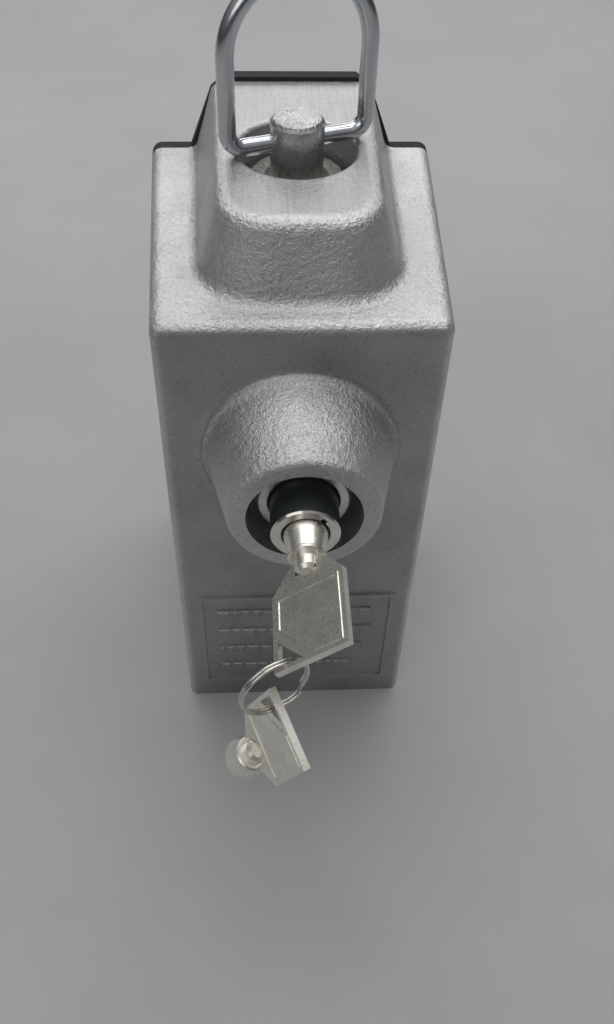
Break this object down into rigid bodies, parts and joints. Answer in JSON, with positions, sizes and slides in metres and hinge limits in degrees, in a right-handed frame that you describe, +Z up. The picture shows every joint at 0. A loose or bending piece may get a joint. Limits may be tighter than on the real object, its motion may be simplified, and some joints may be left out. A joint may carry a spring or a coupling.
{
  "type": "hitch pin lock",
  "caption": "Cast aluminium hitch lock housing with a drop-in lock pin and wire bail, a push-in plunger lock with tubular key, and a spare key on a split ring.",
  "frame": {"origin": "centre of the flat base face", "axes": "+Z up along the lock pin, +Y to the open gasket face at the back, -Y out of the lock and key at the front, +X to the right seen from the front"},
  "size_m": [0.089, 0.1847, 0.2449],
  "materials": {
    "cast_aluminium": "as cast, grainy",
    "gasket_rubber": "matte grainy rubber",
    "zinc_steel": "bright zinc plate",
    "zinc_wire": "bright zinc plate",
    "satin_nickel": "satin nickel",
    "steel_plain": "plain steel",
    "black_coat": "satin black coating",
    "bright_nickel": "bright nickel",
    "brass": "machined brass",
    "spring_steel": "spring wire",
    "key_nickel": "nickel plate",
    "ring_nickel": "nickel plate"
  },
  "bodies": {
    "housing_body": {"housing": "cast_aluminium", "back_gasket": "gasket_rubber", "lock_case": "satin_nickel", "case_retaining_pin": "steel_plain", "plunger_return_spring": "spring_steel"},
    "pin_body": {"lock_pin": "zinc_steel"},
    "bail_body": {"bail_handle": "zinc_wire"},
    "plunger_body": {"plunger_shell": "black_coat", "face_bezel": "bright_nickel", "tumbler_sleeve": "brass", "driver_pins": "steel_plain", "tumbler_springs": "spring_steel", "lock_bolt": "steel_plain"},
    "plug_body": {"lock_plug": "brass", "centre_post": "bright_nickel", "key_pins": "brass", "drive_cam": "steel_plain"},
    "dog_body": {"locking_dog": "steel_plain"},
    "key_1_body": {"key_1_barrel": "key_nickel", "key_1_bow": "key_nickel"},
    "ring_body": {"split_ring": "ring_nickel"},
    "key_2_body": {"key_2_barrel": "key_nickel", "key_2_bow": "key_nickel"}
  },
  "joints": [
    {"name": "pin_lift", "type": "slide", "parent": "housing_body", "child": "pin_body", "axis": [0, 0, 1], "range_m": [0, 0.135]},
    {"name": "bail_swing", "type": "hinge", "parent": "pin_body", "child": "bail_body", "pos_m": [0, 0.0044, 0.1986], "axis": [0.9563, 0.2924, 0], "range_deg": [-65, 65]},
    {"name": "plunger_push", "type": "slide", "parent": "housing_body", "child": "plunger_body", "axis": [0, 1, 0], "range_m": [0, 0.012], "stiffness_N_per_m": 300, "springref_m": -0.004, "deforming": ["plunger_return_spring"]},
    {"name": "key_turn", "type": "hinge", "parent": "plunger_body", "child": "plug_body", "pos_m": [0, -0.0762, 0.131], "axis": [0, -1, 0], "range_deg": [-60, 0]},
    {"name": "dog_lift", "type": "slide", "parent": "plunger_body", "child": "dog_body", "axis": [0, 0, 1], "range_m": [0, 0.0015]},
    {"name": "key_pull", "type": "slide", "parent": "plug_body", "child": "key_1_body", "axis": [0, -1, 0], "range_m": [0, 0.02]},
    {"name": "ring_swing", "type": "hinge", "parent": "key_1_body", "child": "ring_body", "pos_m": [-0.006, -0.11712, 0.12631], "axis": [0.8131, 0.3998, -0.4231], "range_deg": [-12, 12]},
    {"name": "key_2_swing", "type": "hinge", "parent": "ring_body", "child": "key_2_body", "pos_m": [-0.00961, -0.11889, 0.1082], "axis": [0.8974, 0.4412, 0], "range_deg": [-15, 15]}
  ],
  "couplings": [
    {"joint": "dog_lift", "follows": "key_turn", "m_per_rad": -0.0014324}
  ]
}
